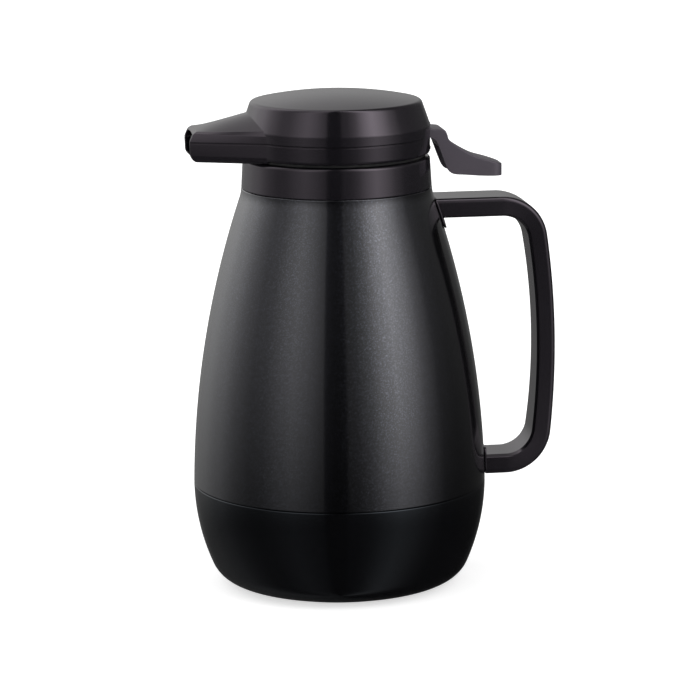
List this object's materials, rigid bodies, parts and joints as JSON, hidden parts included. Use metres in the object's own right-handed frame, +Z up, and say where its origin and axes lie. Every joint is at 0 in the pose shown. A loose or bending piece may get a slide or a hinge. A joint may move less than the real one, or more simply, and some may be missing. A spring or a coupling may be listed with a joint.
{
  "type": "thermal carafe",
  "caption": "Glass-lined thermal carafe with a screw-in stopper lid, a pouring spout, a thumb lever that lifts the valve, and a loop handle.",
  "frame": {"origin": "on the body axis, in the plane the carafe stands on", "axes": "+Z up along the body axis, -X towards the spout, +X towards the thumb lever and handle"},
  "size_m": [0.1734, 0.1402, 0.2383],
  "materials": {
    "shell_paint": "charcoal metallic flake under gloss clear coat",
    "black_trim": "semi-gloss moulded black",
    "base_gloss": "high gloss moulded black",
    "black_moulding": "plain moulded black",
    "white_moulding": "natural acetal",
    "foot_rubber": "soft black rubber",
    "silicone_seal": "grey silicone",
    "red_seal": "red silicone",
    "spacer_pad": "pressed mineral pad",
    "silvered_glass": "silvered on the vacuum side",
    "screw_steel": "stainless"
  },
  "bodies": {
    "carafe": {"body_shell": "shell_paint", "neck_collar": "black_trim", "base_cup": "base_gloss", "base_cap": "black_moulding", "foot_ring": "foot_rubber", "liner_inner_flask": "silvered_glass", "liner_outer_flask": "silvered_glass", "liner_spacers": "spacer_pad", "liner_mouth_gasket": "silicone_seal", "liner_base_cushion": "foot_rubber", "handle": "black_trim", "handle_screws": "screw_steel"},
    "lid_seat": {"lid_ring_gasket": "foot_rubber"},
    "lid": {"lid_cap": "black_trim", "lid_body": "black_trim", "lid_flow_cover": "black_moulding", "lid_cover_gasket": "silicone_seal", "lid_cover_screws": "screw_steel", "stopper_body": "black_moulding", "stopper_mouth_seal": "silicone_seal", "valve_spring": "screw_steel", "valve_stem_seal": "red_seal", "lever_pin": "screw_steel"},
    "valve": {"valve_stem": "white_moulding", "valve_plug": "black_moulding", "valve_seal": "red_seal"},
    "lever": {"thumb_lever": "black_trim"}
  },
  "joints": [
    {"name": "lid_lift", "type": "slide", "parent": "carafe", "child": "lid_seat", "axis": [0, 0, 1], "range_m": [0, 0.048]},
    {"name": "lid_turn", "type": "hinge", "parent": "lid_seat", "child": "lid", "pos_m": [0, 0, 0.2079], "axis": [0, 0, 1], "range_deg": [0, 1079]},
    {"name": "lever_press", "type": "hinge", "parent": "lid", "child": "lever", "pos_m": [0.035, 0, 0.2205], "axis": [0, 1, 0], "range_deg": [0, 10], "stiffness_Nm_per_rad": 0.6, "springref_deg": -14.32},
    {"name": "valve_lift", "type": "slide", "parent": "lid", "child": "valve", "axis": [0, 0, 1], "range_m": [0, 0.0062], "deforming": ["valve_spring"]}
  ],
  "couplings": [
    {"joint": "lid_lift", "follows": "lid_turn", "m_per_rad": 0.0025465},
    {"joint": "valve_lift", "follows": "lever_press", "m_per_rad": 0.035}
  ]
}
